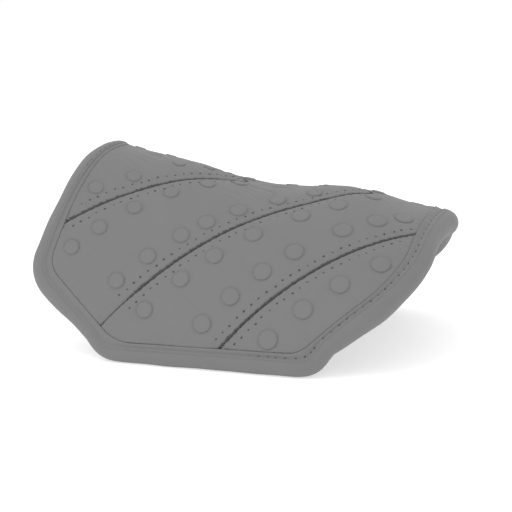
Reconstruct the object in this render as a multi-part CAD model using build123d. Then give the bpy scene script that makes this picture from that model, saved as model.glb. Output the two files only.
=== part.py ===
from build123d import *
import math
import os

# A soft, arched back protector that stands on its two long lower edges.
# X runs along the spine: the tall end is at -X and the broad end at +X. Z is up, Y is across the back.
# Every layer follows one arched skin. A place on the skin is given by its station x and its wrap w:
# w is zero on the crest and is the distance round the arch, measured on a reference radius.

# ---- driving dimensions, in millimetres ----
CREST_HEIGHT = 141.0  # crest above the wrap line at mid length
CREST_FALL = 20.0  # even fall of the crest from mid length to one end
CREST_HOOK = 12.0  # extra rise at the tall end and extra drop at the broad end
CREST_SAG = 11.0  # how far both ends sit above a straight crest
HALF_SPAN = 160.0  # the length over which the three values above apply
ARCH_HALF_WIDTH = 165.0  # half width of the arch ellipse at mid length
ARCH_FLARE = 0.158  # growth of that half width per millimetre towards the broad end
ARCH_DEPTH = 227.0  # height of the arch ellipse
WRAP_LINE_DROP = 4.4  # how far below the floor lies the wrap line, the line along X that w turns about
WRAP_RADIUS = 150.0  # reference radius for w

EDGE_ROLL = 10.0  # radius of the round bound edge
ROLL_OFFSET = 8.5  # from the binding's sewn line out to the middle of the roll
FLOOR_PRESS = 0.6  # how far the roll is flattened where it stands on the floor
PANEL_SETBACK = 3.0  # from the binding's sewn line in to the edge of the layers

# The binding's sewn line, one side, from the tall end's crest to the broad end's crest:
# station x, wrap w, and the radius of the corner. A hollow corner's radius is negative.
CORNERS = [
    (-126.6, 0.0, -70.0),
    (-154.6, 146.0, 25.0),
    (-91.2, 212.0, 37.0),
    (66.3, 212.0, 25.0),
    (139.9, 140.0, 108.0),
    (153.4, 0.0, 150.0),
]

# Layers, as depths below the skin.
COVER = (0.0, 1.2)
SEAM_TAPE = (1.5, 2.1)
CORE = (2.4, 11.6)
COMFORT_FOAM = (11.9, 17.8)
LINING = (18.1, 19.1)

# Seams. Seams 1 and 2 are chevrons: apex station, roundness of the apex, slope, and bend.
SEAM_1 = (-13.2, 8.8, 1.475, 0.0013)
SEAM_2 = (98.2, 18.8, 1.43, 0.0016)
# Seam 3 is one line on each side: station and wrap where it leaves the broad end, slope, and bend.
SEAM_3 = (161.5, 66.0, 1.457, 0.0024)
COVER_GAP = 0.4
CORE_GAP = 1.2
TAPE_HALF_WIDTH = 8.0

BINDING_WALL = 1.4
FILLER_GAP = 0.3

DOT_RADIUS = 7.0
DOT_HEIGHT = 1.5
DOT_REST = 0.1  # clearance of a dot or a stitch over the curved cover

STITCH_PITCH = 7.8
STITCH_OFFSET = 7.2  # from a seam to its row of stitches
STITCH_SIZE = (3.6, 0.9, 0.7)
STITCH_MARGIN = 4.0  # no stitch comes nearer to the layers' edge than this
SEAM_2_BARE = 20.0  # wrap at each end of seam 2 that has no stitches on show
STITCH_LEAN = 30.0  # degrees by which the binding's stitches lean in over the layers

WRAP_STEP = 7.0  # spacing of the sections that the layers are lofted through
SECTION_POINTS = 5
THINNEST = 0.8  # a layer ends where it is narrower than this
POINT_TRIM = 2.0  # how far before the point of a panel its last section lies


# ---- the arched skin ----
def crest_height(x):
    u = x / HALF_SPAN
    return CREST_HEIGHT - CREST_FALL * u - CREST_HOOK * u**3 + CREST_SAG * u**2


def skin_radius(x, w):
    """Distance from the wrap line to the skin."""
    angle = w / WRAP_RADIUS
    half_width = ARCH_HALF_WIDTH + ARCH_FLARE * x
    ellipse_middle = crest_height(x) - ARCH_DEPTH
    across = math.sin(angle) / half_width
    up = math.cos(angle) / ARCH_DEPTH
    a = across**2 + up**2
    b = up * ellipse_middle / ARCH_DEPTH
    c = (ellipse_middle / ARCH_DEPTH) ** 2 - 1
    return (b + math.sqrt(b * b - a * c)) / a


def skin_point(x, w, depth=0.0):
    radius = skin_radius(x, w) - depth
    angle = w / WRAP_RADIUS
    return Vector(x, radius * math.sin(angle), radius * math.cos(angle) - WRAP_LINE_DROP)


def skin_normal(x, w):
    along = skin_point(x + 0.5, w) - skin_point(x - 0.5, w)
    around = skin_point(x, w + 0.5) - skin_point(x, w - 0.5)
    return along.cross(around).normalized()


# ---- the outline ----
def offset_corners(offset):
    """The corners of the sewn line moved outwards by offset."""
    lines = []
    for (x0, w0, _), (x1, w1, _) in zip(CORNERS, CORNERS[1:]):
        length = math.hypot(x1 - x0, w1 - w0)
        out_x, out_w = -(w1 - w0) / length, (x1 - x0) / length
        lines.append((out_x, out_w, out_x * x0 + out_w * w0 + offset))
    crest_line = (0.0, 1.0, 0.0)
    lines = [crest_line] + lines + [crest_line]
    moved = []
    for (a0, b0, c0), (a1, b1, c1), (_, _, radius) in zip(lines, lines[1:], CORNERS):
        det = a0 * b1 - a1 * b0
        place = ((c0 * b1 - c1 * b0) / det, (a0 * c1 - a1 * c0) / det)
        moved.append((*place, abs(radius + offset)))
    return moved


def outline(offset, step):
    """Points (x, w) along one side of the outline, from crest to crest, with its corners as arcs."""
    corners = offset_corners(offset)
    mirrored = [(x, -w, radius) for x, w, radius in corners]
    corners = [mirrored[1]] + corners + [mirrored[-2]]
    knots = []
    for before, here, after in zip(corners, corners[1:], corners[2:]):
        into = Vector(here[0] - before[0], here[1] - before[1]).normalized()
        away = Vector(after[0] - here[0], after[1] - here[1]).normalized()
        turn = into.get_angle(away)
        reach = here[2] * math.tan(math.radians(turn / 2))
        turn = math.copysign(turn, into.cross(away).Z)
        corner = Vector(here[0], here[1])
        middle = corner + (away - into).normalized() * math.hypot(reach, here[2])
        steps = 2 * max(1, round(here[2] * math.radians(abs(turn)) / step / 2))
        start = corner - into * reach - middle
        for k in range(steps + 1):
            spoke = start.rotate(Axis.Z, turn * k / steps)
            knots.append((middle.X + spoke.X, middle.Y + spoke.Y))
    knots = [(x, max(w, 0.0)) for x, w in knots if w > -1e-6]
    points = []
    for (x0, w0), (x1, w1) in zip(knots, knots[1:]):
        pieces = max(1, round(math.hypot(x1 - x0, w1 - w0) / step))
        for k in range(pieces):
            points.append((x0 + (x1 - x0) * k / pieces, w0 + (w1 - w0) * k / pieces))
    points.append(knots[-1])
    return points


PANEL_EDGE = outline(-PANEL_SETBACK, 3.0)
PANEL_WRAP = max(w for _, w in PANEL_EDGE)


def edge_stations(w):
    """Where the layers' edge crosses wrap w: at the tall end and at the broad end."""
    w = min(abs(w), PANEL_WRAP - 0.01)
    crossings = []
    for (x0, w0), (x1, w1) in zip(PANEL_EDGE, PANEL_EDGE[1:]):
        if min(w0, w1) <= w <= max(w0, w1) and w0 != w1:
            crossings.append(x0 + (x1 - x0) * (w - w0) / (w1 - w0))
    return min(crossings), max(crossings)


def chevron(seam, w):
    apex, roundness, slope, bend = seam
    return apex + roundness - math.hypot(roundness, slope * w) + bend * w * w


def seam_1(w):
    return chevron(SEAM_1, w)


def seam_2(w):
    return chevron(SEAM_2, w)


def seam_3(w):
    station, wrap, slope, bend = SEAM_3
    past = abs(w) - wrap
    return station - slope * past + bend * past * past


def tall_edge(w):
    return edge_stations(w)[0]


def broad_edge(w):
    return edge_stations(w)[1]


# ---- layers ----
def section(w, start, end, depths):
    """The closed outline of a layer at wrap w, in a plane through the line along the floor."""
    stations = [start + (end - start) * k / (SECTION_POINTS - 1) for k in range(SECTION_POINTS)]
    outer = [skin_point(x, w, depths[0]) for x in stations]
    inner = [skin_point(x, w, depths[1]) for x in stations]
    return Wire(
        [
            Edge.make_spline(outer),
            Edge.make_line(outer[-1], inner[-1]),
            Edge.make_spline(inner[::-1]),
            Edge.make_line(inner[0], outer[0]),
        ]
    )


def layer(start_at, end_at, depths, wraps, gap=0.0):
    """A solid layer between two lines, start_at(w) and end_at(w), lofted round the arch."""
    wires = []
    for w in wraps:
        start, end = start_at(w) + gap, end_at(w) - gap
        if end - start > THINNEST:
            wires.append(section(w, start, end, depths))
    return Solid.make_loft(wires, ruled=True)


def wrap_range(low, high, kinks=()):
    """Even wraps from low to high, with a section at each kink in place of the nearest even one."""
    count = math.ceil((high - low) / WRAP_STEP)
    wraps = [low + (high - low) * k / count for k in range(count + 1)]
    for kink in kinks:
        for w in (kink, -kink):
            nearest = min(range(count + 1), key=lambda k: abs(wraps[k] - w))
            if 0 < nearest < count:
                wraps[nearest] = w
    return wraps


def crossing_wrap(line, edge, low, high):
    """The wrap at which a seam meets an edge line, found by halving."""
    side = line(low) > edge(low)
    for _ in range(40):
        middle = (low + high) / 2
        if (line(middle) > edge(middle)) == side:
            low = middle
        else:
            high = middle
    return low


SEAM_1_END = crossing_wrap(seam_1, tall_edge, 20.0, 150.0)
SEAM_2_END = crossing_wrap(seam_2, tall_edge, 150.0, PANEL_WRAP)
SEAM_3_START = crossing_wrap(seam_3, broad_edge, 40.0, 180.0)


def middle_start(w):
    return max(seam_1(w), tall_edge(w))


def broad_start(w):
    return max(seam_2(w), tall_edge(w))


def broad_end(w):
    return min(seam_3(w), broad_edge(w)) if abs(w) > SEAM_3_START else broad_edge(w)


def side_start(w):
    return max(seam_3(w), tall_edge(w))


TALL_SPAN = wrap_range(-SEAM_1_END + POINT_TRIM, SEAM_1_END - POINT_TRIM)
MIDDLE_SPAN = wrap_range(-SEAM_2_END + POINT_TRIM, SEAM_2_END - POINT_TRIM, [SEAM_1_END])
BROAD_SPAN = wrap_range(-PANEL_WRAP, PANEL_WRAP, [SEAM_3_START, SEAM_2_END])
SIDE_SPAN = wrap_range(SEAM_3_START + POINT_TRIM, PANEL_WRAP)
PANELS = {
    "tall_end": (tall_edge, seam_1, TALL_SPAN),
    "middle": (middle_start, seam_2, MIDDLE_SPAN),
    "broad_end": (broad_start, broad_end, BROAD_SPAN),
    "side_left": (side_start, broad_edge, SIDE_SPAN),
    "side_right": (side_start, broad_edge, [-w for w in SIDE_SPAN]),
}


def tape_along(seam, low, high):
    """A backing tape that follows a seam under the covers."""

    def slant(w):
        return math.hypot(1.0, (seam(w + 0.5) - seam(w - 0.5)))

    def start(w):
        return max(seam(w) - TAPE_HALF_WIDTH * slant(w), tall_edge(w))

    def end(w):
        return min(seam(w) + TAPE_HALF_WIDTH * slant(w), broad_edge(w))

    return layer(start, end, SEAM_TAPE, wrap_range(low, high))


# ---- the bound edge ----
ROLL_LINE = outline(ROLL_OFFSET, STITCH_PITCH)


def roll_point(x, w):
    """The middle of the edge roll, which is level where the protector stands on the floor."""
    point = skin_point(x, w, EDGE_ROLL)
    bottom_wrap = CORNERS[2][1]
    share = min(1.0, max(0.0, (abs(w) - bottom_wrap + ROLL_OFFSET) / (2 * ROLL_OFFSET)))
    share = share * share * (3 - 2 * share)
    level = EDGE_ROLL - FLOOR_PRESS
    return Vector(point.X, point.Y, point.Z + (level - point.Z) * share)


def roll_path(side):
    return [(x, side * w) for x, w in ROLL_LINE]


def nearest_knot(end, wrap):
    """The place in the roll line nearest to a wrap, in the half towards end (-1 tall, 1 broad)."""
    half = [k for k, (x, _) in enumerate(ROLL_LINE) if x * end > 0]
    return min(half, key=lambda k: abs(ROLL_LINE[k][1] - wrap))


def split_roll():
    """The edge as four runs, split on the two slanting stretches of each side."""
    tall_cut = nearest_knot(-1, ROLL_OFFSET + (CORNERS[1][1] + CORNERS[2][1]) / 2)
    broad_cut = nearest_knot(1, ROLL_OFFSET + (CORNERS[3][1] + CORNERS[4][1]) / 2)
    left, right = roll_path(1), roll_path(-1)
    return {
        "tall_end": right[tall_cut:0:-1] + left[: tall_cut + 1],
        "broad_end": left[broad_cut:] + right[-2 : broad_cut - 1 : -1],
        "left": left[tall_cut : broad_cut + 1],
        "right": right[tall_cut : broad_cut + 1],
    }


def end_tangent(place, inward):
    """Direction of the whole roll at the end of a run, so that two runs meet square to it."""
    whole = roll_path(math.copysign(1, place[1]))
    k = whole.index(place)
    across = (roll_point(*whole[k + 1]) - roll_point(*whole[k - 1])).normalized()
    return across * math.copysign(1, across.dot(inward))


def roll_curve(path):
    points = [roll_point(*p) for p in path]
    start = end_tangent(path[0], points[1] - points[0])
    end = end_tangent(path[-1], points[-1] - points[-2])
    return Edge.make_spline(points, tangents=[start, end])


def rod(path, radius):
    """A round rod along a run of the roll."""
    curve = roll_curve(path)
    wires = []
    for k, place in enumerate(path):
        share = k / (len(path) - 1)
        plane = Plane(origin=curve @ share, x_dir=skin_normal(*place), z_dir=curve % share)
        wires.append(Wire([plane * Edge.make_circle(radius)]))
    return Solid.make_loft(wires, ruled=True)


FLOOR = Pos(0, 0, -50) * Box(600, 600, 100)


# ---- dots and stitches ----
def on_skin(x, w, heading, lift):
    """A plane on the cover at (x, w), raised by lift, whose x direction runs along heading."""
    normal = skin_normal(x, w)
    along = skin_point(x + heading[0], w + heading[1]) - skin_point(x, w)
    return Plane(origin=skin_point(x, w) + normal * lift, x_dir=along, z_dir=normal)


def dot(x, w):
    place = on_skin(x, w, (1.0, 0.0), DOT_REST + DOT_HEIGHT / 2)
    return place * Cylinder(DOT_RADIUS, DOT_HEIGHT)


def stitch(x, w, heading):
    place = on_skin(x, w, heading, DOT_REST + STITCH_SIZE[2] / 2)
    return place * Box(*STITCH_SIZE)


def along(seam, low, high, distances, offset):
    """Places (x, w, heading) at distances along a seam from wrap low, moved offset towards +X."""
    count = 500
    wraps = [low + (high - low) * k / count for k in range(count + 1)]
    wanted, places, travelled = sorted(distances), [], 0.0
    for w0, w1 in zip(wraps, wraps[1:]):
        x0, x1 = seam(w0), seam(w1)
        scale = skin_radius(x0, w0) / WRAP_RADIUS
        run, rise = x1 - x0, (w1 - w0) * scale
        length = math.hypot(run, rise)
        side_x, side_w = rise / length, -run / length / scale
        if high < low:
            side_x, side_w = -side_x, -side_w
        while wanted and wanted[0] < travelled + length:
            wanted.pop(0)
            places.append((x0 + side_x * offset, w0 + side_w * offset, (run, w1 - w0)))
        travelled += length
    return places


def every(pitch, reach=400.0):
    return [pitch * (k + 0.5) for k in range(int(reach / pitch))]


def inside(x, w, margin):
    if abs(w) > PANEL_WRAP - margin:
        return False
    return tall_edge(w) + margin < x < broad_edge(w) - margin


def stitch_row(seam, low, high, offset):
    places = along(seam, low, high, every(STITCH_PITCH), offset)
    return [stitch(x, w, heading) for x, w, heading in places if inside(x, w, STITCH_MARGIN)]


def dot_row(row, side):
    """One row of dots beside its seam. Side is 1 for the left half and -1 for the right half."""
    seam, start, offset, spread, distances = row
    made = []
    for distance in distances:
        places = along(seam, side * start, side * PANEL_WRAP, [distance], offset + spread * distance)
        made += [dot(x, w) for x, w, _ in places]
    return made


def binding_stitches(path):
    """Stitches on the top of the roll, just outside the sewn line."""
    made = []
    height = EDGE_ROLL + DOT_REST + STITCH_SIZE[2] / 2
    lean = math.radians(STITCH_LEAN)
    for (x, w), (x1, w1) in zip(path, path[1:]):
        start = roll_point(x, w)
        step = roll_point(x1, w1) - start
        normal = skin_normal(x, w)
        outward = step.cross(normal).normalized()
        outward *= math.copysign(1, outward.dot(Vector(x, start.Y, 0)))
        up = normal * math.cos(lean) - outward * math.sin(lean)
        place = Plane(origin=start + up * height, x_dir=step, z_dir=up)
        made.append(place * Box(*STITCH_SIZE))
    return made


# Rows of dots: the seam that a row follows, the wrap where its distances start, the row's offset
# from the seam towards the broad end, how much that offset grows per millimetre, and the distances.
DOT_ROWS = {
    "tall_end": [(seam_1, 0.0, -15.5, 0.0, [100, 134])],
    "middle": [
        (seam_1, 0.0, 8.5, 0.085, [43, 78, 114, 149, 178]),
        (seam_2, 0.0, -13.0, -0.022, [51, 85, 121, 150, 174, 206, 238]),
    ],
    "broad_end": [
        (seam_2, 0.0, 17.5, 0.0, [44, 79, 124, 162, 196, 236]),
        (seam_3, 40.0, -24.5, 0.0, [63, 86, 116, 159, 189, 220, 250]),
    ],
    "side": [(seam_3, 66.0, 24.5, 0.0, [62, 101, 138, 176])],
}
# Dots near the crest, which stand in no row: station and wrap.
CREST_DOTS = {
    "tall_end": [(-71.0, -15.0), (-47.0, 0.0), (-89.0, 19.0), (-119.0, 20.0)],
    "middle": [(-15.0, 18.0), (-15.0, -18.0), (24.0, 19.0)],
    "broad_end": [(99.0, 17.0), (99.0, -17.0)],
}


# ---- build and write ----
def as_group(solids):
    return Compound(children=solids) if len(solids) > 1 else solids[0]


def save(name, *solids):
    export_step(as_group(list(solids)), f"parts/{name}.step")


def build_layers():
    for name, (start, end, wraps) in PANELS.items():
        save(f"cover_{name}", layer(start, end, COVER, wraps, COVER_GAP))
        save(f"core_{name}", layer(start, end, CORE, wraps, CORE_GAP))
    save("comfort_foam", layer(tall_edge, broad_edge, COMFORT_FOAM, BROAD_SPAN, CORE_GAP))
    save("inner_lining", layer(tall_edge, broad_edge, LINING, BROAD_SPAN, CORE_GAP))


def build_tapes():
    save("seam_tape_1", tape_along(seam_1, -SEAM_1_END, SEAM_1_END))
    save("seam_tape_2", tape_along(seam_2, -SEAM_2_END, SEAM_2_END))
    save("seam_tape_3_left", tape_along(seam_3, SEAM_3_START + 4.0, PANEL_WRAP))
    save("seam_tape_3_right", tape_along(seam_3, -PANEL_WRAP, -SEAM_3_START - 4.0))


def build_edge():
    for name, path in split_roll().items():
        inside_wall = EDGE_ROLL - BINDING_WALL
        save(f"binding_{name}", rod(path, EDGE_ROLL) - rod(path, inside_wall) - FLOOR)
        save(f"edge_filler_{name}", rod(path, inside_wall - FILLER_GAP))
        save(f"stitches_binding_{name}", *binding_stitches(path))


def build_rows():
    side = STITCH_OFFSET
    save("stitches_seam_1_tall_side", *stitch_row(seam_1, -SEAM_1_END, SEAM_1_END, -side))
    save("stitches_seam_1_broad_side", *stitch_row(seam_1, -SEAM_1_END, SEAM_1_END, side))
    reach = SEAM_2_END - SEAM_2_BARE
    save("stitches_seam_2_tall_side", *stitch_row(seam_2, -reach, reach, -side))
    save("stitches_seam_2_broad_side", *stitch_row(seam_2, -reach, reach, side))
    for name, low, high in (
        ("left", SEAM_3_START, PANEL_WRAP),
        ("right", -PANEL_WRAP, -SEAM_3_START),
    ):
        rows = stitch_row(seam_3, low, high, -side) + stitch_row(seam_3, low, high, side)
        save(f"stitches_seam_3_{name}", *rows)


def build_dots():
    for panel, rows in DOT_ROWS.items():
        left = [made for row in rows for made in dot_row(row, 1)]
        right = [made for row in rows for made in dot_row(row, -1)]
        if panel == "side":
            save("dots_side_left", *left)
            save("dots_side_right", *right)
        else:
            near_crest = [dot(x, w) for x, w in CREST_DOTS[panel]]
            save(f"dots_{panel}", *near_crest, *left, *right)


os.makedirs("parts", exist_ok=True)
build_dots()
build_layers()
build_tapes()
build_edge()
build_rows()
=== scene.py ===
import math

import bpy
import numpy as np
from mathutils import Matrix, Vector, kdtree


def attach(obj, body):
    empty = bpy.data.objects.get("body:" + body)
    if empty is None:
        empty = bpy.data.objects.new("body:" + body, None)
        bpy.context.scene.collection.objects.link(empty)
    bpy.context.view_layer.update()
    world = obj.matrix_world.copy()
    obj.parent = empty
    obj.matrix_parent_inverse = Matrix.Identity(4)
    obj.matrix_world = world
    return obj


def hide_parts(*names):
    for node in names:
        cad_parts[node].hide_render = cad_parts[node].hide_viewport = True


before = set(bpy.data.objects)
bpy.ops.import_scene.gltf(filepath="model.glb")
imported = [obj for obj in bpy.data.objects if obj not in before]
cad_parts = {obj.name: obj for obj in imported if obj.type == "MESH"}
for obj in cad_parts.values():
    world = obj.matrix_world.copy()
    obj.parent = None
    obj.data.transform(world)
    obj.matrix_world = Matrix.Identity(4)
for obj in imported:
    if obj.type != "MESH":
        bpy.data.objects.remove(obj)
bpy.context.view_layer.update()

# A soft, arched back protector: crowned foam panels under cloth, a round bound edge, rows of low dots,
# needle marks beside each seam, and a mesh lining. Lengths are in millimetres and meshes are made in metres.
# A place on the arched skin is a station x along the spine and a wrap w round the arch, as in the CAD part.

MM = 0.001
RNG = np.random.default_rng(7)

# ---- the arched skin and its outline, as the CAD part has them ----
# The crest: its height at the middle, then how far it falls, hooks down at the end, and sags between.
CREST_HEIGHT = 141.0
CREST_FALL = 20.0
CREST_HOOK = 12.0
CREST_SAG = 11.0
HALF_SPAN = 160.0
# The arch is an ellipse round the spine, wider towards the broad end.
ARCH_HALF_WIDTH = 165.0
ARCH_FLARE = 0.158
ARCH_DEPTH = 227.0
# A wrap is an angle round the wrap line, given as a length at this radius. The line lies below the floor.
WRAP_RADIUS = 150.0
WRAP_LINE_DROP = 4.4
# The round edge: its radius, how far out its middle lies, and how far the floor presses it flat.
EDGE_ROLL = 10.0
ROLL_OFFSET = 8.5
FLOOR_PRESS = 0.6
# The outline's corners on one side: station, wrap and radius. A negative radius is a hollow corner.
CORNERS = [
    (-126.6, 0.0, -70.0),
    (-154.6, 146.0, 25.0),
    (-91.2, 212.0, 37.0),
    (66.3, 212.0, 25.0),
    (139.9, 140.0, 108.0),
    (153.4, 0.0, 150.0),
]
BOTTOM_WRAP = CORNERS[2][1]
# Seams 1 and 2 are chevrons: the apex's station and roundness, the slope, and the bend.
SEAM_1 = (-13.2, 8.8, 1.475, 0.0013)
SEAM_2 = (98.2, 18.8, 1.43, 0.0016)
# Seam 3 has no apex on the pad: a station and wrap that it passes, the slope, and the bend.
SEAM_3 = (161.5, 66.0, 1.457, 0.0024)
# The length of one stitch, and half the distance over which slopes are measured.
PITCH = 7.8
PROBE = 0.5

# ---- the soft surface ----
# Half the open gap at a seam, and the gap between the panels and the binding.
SEAM_GAP = 0.3
EDGE_GAP = 0.2
# Depths under the skin, and the lift of the lining's upper face.
CORE_DEPTH = 11.7
FOAM_TOP = 11.9
FOAM_BOTTOM = 17.8
LINING_LIFT = -18.2
LINING_THICKNESS = 0.7
# The covers crown between seams, and round down at the seams and at the binding.
CROWN = 1.2
CROWN_REACH = 16.0
BASE_LIFT = -0.3
SEAM_DROP = 2.8
SEAM_ROUND = 2.8
EDGE_DROP = 0.45
EDGE_ROUND = 1.0
# Seam 2 grows shallow towards its ends: the distances over which it does, and by how much.
SHALLOW_END = (20.0, 48.0)
SHALLOWING = 0.62
# Hollows that the stitches pull: depth, distance from the seam, and reach.
PUCKER = (0.45, 4.5, 3.2)
TUCK_DEPTH = 0.35
TUCK_REACH = 8.0
# Where the binding's stitches tug at the cloth: distance from the edge, and reach.
TUG_MIDDLE = 4.0
TUG_REACH = 4.5
# How soon the seam's raggedness fades, and how soon wrinkles and crest swells set in.
RAGGED_FADE = 3.0
WRINKLE_REACH = 6.0
SWELL_REACH = 12.0
CREST_BREADTH = 52.0
# Irregular lines: the wavelengths of each, and the height of each wave.
RAGGED_SEAM = ((3.1, 4.7, 7.9), (0.20, 0.20, 0.16))
PUCKER_DRIFT = ((31, 53), (0.7, 0.6))
EDGE_TUG = ((5.2, 9.1, 14.7), (0.10, 0.12, 0.10))
BROAD_SWELL = ((61, 97), (0.22, 0.20))
CREASE_BEND = ((43, 71), (2.2, 2.6))
CREASE_RIDGES = ((6.4, 9.7, 15.1), (0.34, 0.42, 0.36))
CREASE_PATCHES = ((57, 33), (0.6, 0.5))
ROLL_FULLNESS = ((37, 61, 113), (0.16, 0.20, 0.22))
FLAP_WAVER = ((5.3, 11.9), (0.08, 0.08))
# Each wave starts this much later in its turn than the one before.
WAVE_SHIFT = 2.1
# The crest's own rise and fall between the seams: height, station, and reach along the spine.
CREST_SWELLS = [(4.2, -70.0, 34.0), (-3.4, 6.0, 26.0), (5.6, 84.0, 32.0), (-3.6, 146.0, 26.0)]
# The roll's own fuller and leaner stretches: amount, station, wrap, and reach.
ROLL_SWELLS = [
    (2.4, 160.0, 0.0, 26.0),
    (-1.9, -140.0, 78.0, 38.0),
    (1.8, -152.0, 158.0, 34.0),
    (2.2, 118.0, 180.0, 36.0),
    (-2.2, 84.0, 216.0, 20.0),
]


def crest_height(x):
    u = x / HALF_SPAN
    return CREST_HEIGHT - CREST_FALL * u - CREST_HOOK * u**3 + CREST_SAG * u**2


def skin_radius(x, w):
    angle = w / WRAP_RADIUS
    middle = crest_height(x) - ARCH_DEPTH
    across = np.sin(angle) / (ARCH_HALF_WIDTH + ARCH_FLARE * x)
    up = np.cos(angle) / ARCH_DEPTH
    a = across**2 + up**2
    b = up * middle / ARCH_DEPTH
    c = (middle / ARCH_DEPTH) ** 2 - 1
    return (b + np.sqrt(b * b - a * c)) / a


def skin(x, w, lift=0.0):
    """Points on the skin, raised by lift, as an array of positions in millimetres."""
    x, w, lift = np.broadcast_arrays(np.asarray(x, float), np.asarray(w, float), np.asarray(lift, float))
    r = skin_radius(x, w) + lift
    angle = w / WRAP_RADIUS
    return np.stack([x, r * np.sin(angle), r * np.cos(angle) - WRAP_LINE_DROP], -1)


def unit(v):
    return v / np.linalg.norm(v, axis=-1, keepdims=True)


def skin_normal(x, w):
    lengthwise = skin(x + PROBE, w) - skin(x - PROBE, w)
    around = skin(x, w + PROBE) - skin(x, w - PROBE)
    return unit(np.cross(lengthwise, around))


# ---- outline ----
def loop_corners(offset):
    """The ten corners of the whole outline, moved outwards by offset: station, wrap and radius."""
    sides = []
    for (x0, w0, _), (x1, w1, _) in zip(CORNERS, CORNERS[1:]):
        length = math.hypot(x1 - x0, w1 - w0)
        out_x, out_w = -(w1 - w0) / length, (x1 - x0) / length
        sides.append((out_x, out_w, out_x * x0 + out_w * w0 + offset))
    sides = [(0.0, 1.0, 0.0)] + sides + [(0.0, 1.0, 0.0)]
    half = []
    for (a0, b0, c0), (a1, b1, c1), (_, _, radius) in zip(sides, sides[1:], CORNERS):
        det = a0 * b1 - a1 * b0
        half.append(((c0 * b1 - c1 * b0) / det, (a0 * c1 - a1 * c0) / det, abs(radius + offset)))
    return half + [(x, -w, r) for x, w, r in half[-2:0:-1]]


def corner_arcs(offset):
    """Each corner as (middle, start spoke, turn angle), with points as complex numbers x + i w."""
    corners = loop_corners(offset)
    arcs = []
    for k, (x, w, radius) in enumerate(corners):
        here = complex(x, w)
        before, after = (complex(*corners[(k + s) % len(corners)][:2]) for s in (-1, 1))
        into, away = (here - before) / abs(here - before), (after - here) / abs(after - here)
        turn = math.atan2((into.conjugate() * away).imag, (into.conjugate() * away).real)
        reach = radius * math.tan(abs(turn) / 2)
        bisector = (away - into) / abs(away - into)
        middle = here + bisector * math.hypot(reach, radius)
        arcs.append((middle, here - into * reach - middle, turn))
    return arcs


def loop(offset, step=2.0):
    """The closed outline at an offset. Its points pair with those of every other offset."""
    reference, arcs = corner_arcs(ROLL_OFFSET), corner_arcs(offset)
    points = []
    for k, (middle, spoke, turn) in enumerate(arcs):
        count = 2 * max(1, round(abs(reference[k][1]) * abs(turn) / step / 2))
        points += [middle + spoke * complex(math.cos(turn * j / count), math.sin(turn * j / count))
                   for j in range(count + 1)]
        after = (k + 1) % len(arcs)
        ends = [a[k][0] + a[k][1] * complex(math.cos(a[k][2]), math.sin(a[k][2])) for a in (reference, arcs)]
        starts = [a[after][0] + a[after][1] for a in (reference, arcs)]
        pieces = max(1, round(abs(starts[0] - ends[0]) / step))
        points += [ends[1] + (starts[1] - ends[1]) * j / pieces for j in range(1, pieces)]
    return np.array([[p.real, p.imag] for p in points])


def edge_lines(offset):
    """(wraps, stations) of the tall edge and of the broad edge on one side, and the widest wrap."""
    places = loop(offset, 1.0)
    same = 1e-6
    half = places[places[:, 1] >= -same]
    widest = half[:, 1].max()
    flat = half[half[:, 1] > widest - same]
    tall = half[(half[:, 0] <= flat[:, 0].min() + same)]
    broad = half[(half[:, 0] >= flat[:, 0].max() - same)]
    tall, broad = (side[np.argsort(side[:, 1])] for side in (tall, broad))
    return (tall[:, 1], tall[:, 0]), (broad[:, 1], broad[:, 0]), widest


TALL_LINE, BROAD_LINE, WIDEST = edge_lines(-EDGE_GAP)


def tall_edge(w):
    return np.interp(np.abs(w), *TALL_LINE)


def broad_edge(w):
    return np.interp(np.abs(w), *BROAD_LINE)


# ---- seams ----
def chevron(seam, w):
    apex, roundness, slope, bend = seam
    return apex + roundness - np.hypot(roundness, slope * w) + bend * w * w


def seam_1(w):
    return chevron(SEAM_1, w)


def seam_2(w):
    return chevron(SEAM_2, w)


def seam_3(w):
    station, wrap, slope, bend = SEAM_3
    past = np.abs(w) - wrap
    return station - slope * past + bend * past * past


def crossing_wrap(line, edge, low, high, halvings=40):
    """The wrap between low and high where a seam meets an edge of the pad."""
    side = line(low) > edge(low)
    for _ in range(halvings):
        middle = (low + high) / 2
        low, high = (middle, high) if (line(middle) > edge(middle)) == side else (low, middle)
    return low


SEAM_1_END = crossing_wrap(seam_1, tall_edge, 20.0, 150.0)
SEAM_2_END = crossing_wrap(seam_2, tall_edge, 150.0, WIDEST)
SEAM_3_START = crossing_wrap(seam_3, broad_edge, 40.0, 180.0)
# Added to the length along each further curve, so that one number tells the curve and the length.
RUN_LABEL = 1000.0


def ease(value, low, high):
    """A smooth step from 0 at low to 1 at high."""
    share = np.clip((value - low) / (high - low), 0, 1)
    return share * share * (3 - 2 * share)


def hill(value, reach, middle=0.0):
    """1 at the middle, fading on both sides over the reach."""
    return np.exp(-(((value - middle) / reach) ** 2))


def settle(distance, reach):
    """0 at no distance, rising towards 1 over the reach."""
    return 1 - np.exp(-distance / reach)


def nearest_in(tree, points):
    """For each point, the distance to the nearest entry of a tree, and that entry's index."""
    found = [tree.find(p) for p in points.reshape(-1, 3)]
    distance = np.array([f[2] for f in found]).reshape(points.shape[:-1])
    index = np.array([f[1] for f in found]).reshape(points.shape[:-1])
    return distance, index


def tree_of(points):
    tree = kdtree.KDTree(len(points))
    for k, p in enumerate(points):
        tree.insert(p, k)
    tree.balance()
    return tree


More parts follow.
